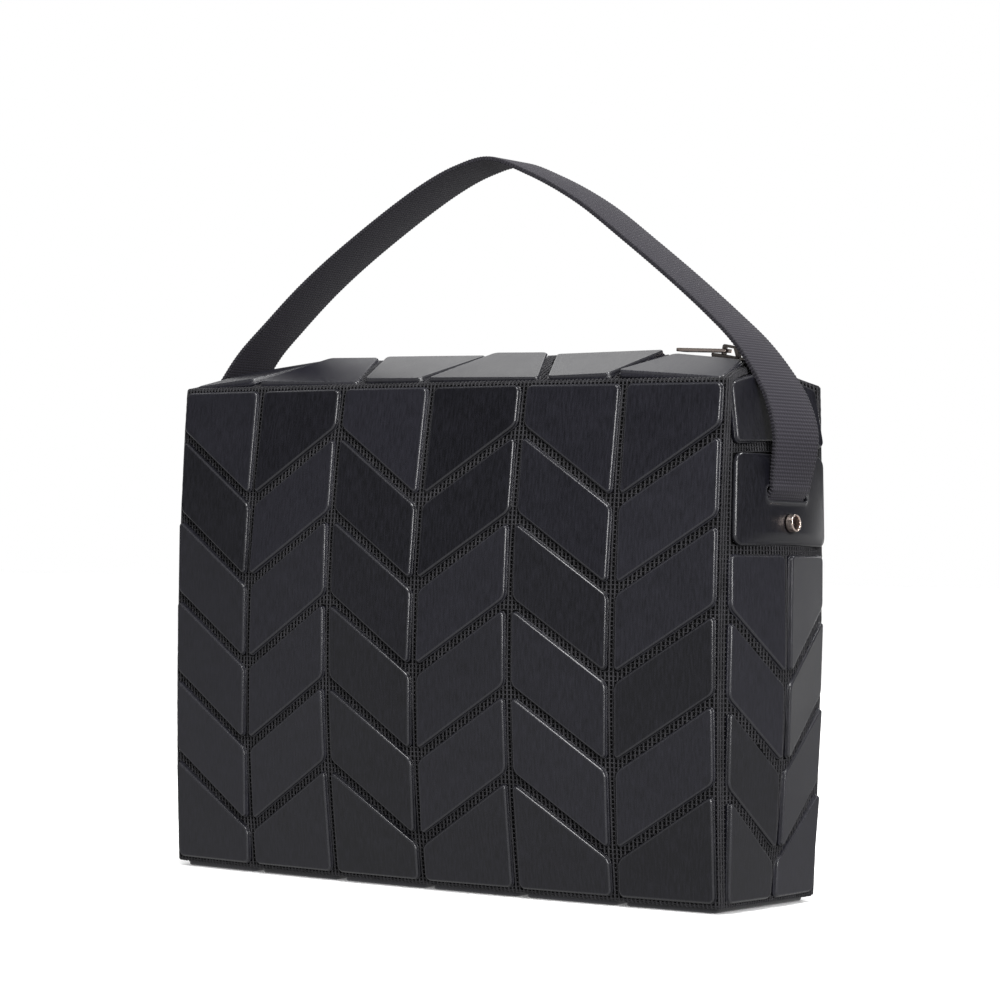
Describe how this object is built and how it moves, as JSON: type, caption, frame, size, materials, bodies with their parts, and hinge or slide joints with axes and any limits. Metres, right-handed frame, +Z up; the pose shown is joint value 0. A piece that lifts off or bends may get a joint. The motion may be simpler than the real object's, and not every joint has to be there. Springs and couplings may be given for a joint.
{
  "type": "box bag",
  "caption": "Oblong zip-top box bag of flat black tiles on rib mesh, with a webbing handle from end to end over the top.",
  "frame": {"origin": "centre of the bag's footprint, on the surface that it stands on", "axes": "+X along the length, towards the end where the zip's slider is; +Z up, towards the handle; the front faces -Y"},
  "size_m": [0.2946, 0.1032, 0.2979],
  "materials": {
    "tile": "satin black coated tiles with a fine upright grain, on black rib mesh",
    "webbing": "black ribbed webbing with a slight sheen",
    "zip_tape": "black woven zip tape",
    "zip_teeth": "black moulded coil",
    "dark_metal": "polished dark nickel"
  },
  "bodies": {
    "bag": {"front_wall": "tile", "back_wall": "tile", "right_end_wall": "tile", "left_end_wall": "tile", "top_front_panel": "tile", "top_back_panel": "tile", "base_wall": "tile", "right_strap_plate": "tile", "left_strap_plate": "tile", "handle_strap": "webbing", "right_eyelet": "dark_metal", "left_eyelet": "dark_metal", "zip_tape_front": "zip_tape", "zip_tape_back": "zip_tape", "zip_chain": "zip_teeth", "zip_slider": "dark_metal"},
    "pull": {"zip_pull": "dark_metal"}
  },
  "joints": [
    {"name": "pull_hinge", "type": "hinge", "parent": "bag", "child": "pull", "pos_m": [0.11483, 0, 0.21627], "axis": [0, 1, 0], "range_deg": [0, 55]}
  ]
}
